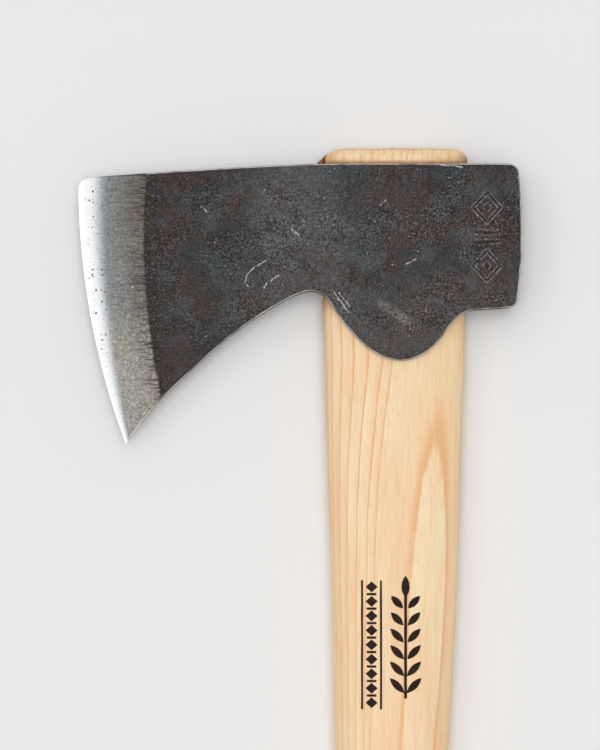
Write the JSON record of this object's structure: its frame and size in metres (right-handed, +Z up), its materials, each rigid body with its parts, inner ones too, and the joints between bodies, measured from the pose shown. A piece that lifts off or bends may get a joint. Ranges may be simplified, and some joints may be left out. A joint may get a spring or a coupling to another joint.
{
  "type": "carving hatchet",
  "caption": "Small bearded carving hatchet: forged steel head with a ground bevel, wedged onto a curved wooden handle, lying on its side.",
  "frame": {"origin": "bottom centre of the bounding box, on the plane that the hatchet lies on", "axes": "+X from the cutting edge to the poll, +Y from the butt of the handle to the crown of the head, +Z up through the cheeks"},
  "size_m": [0.1414, 0.35, 0.027],
  "materials": {
    "forged_steel": "dark forge scale, with a ground bevel and a polished edge",
    "handle_wood": "oiled, fine sanded",
    "wedge_wood": "split hardwood, oiled",
    "wedge_steel": "hammered flush"
  },
  "bodies": {
    "hatchet": {"axe_head": "forged_steel", "handle": "handle_wood", "wooden_wedge": "wedge_wood", "steel_wedge": "wedge_steel"}
  },
  "joints": []
}
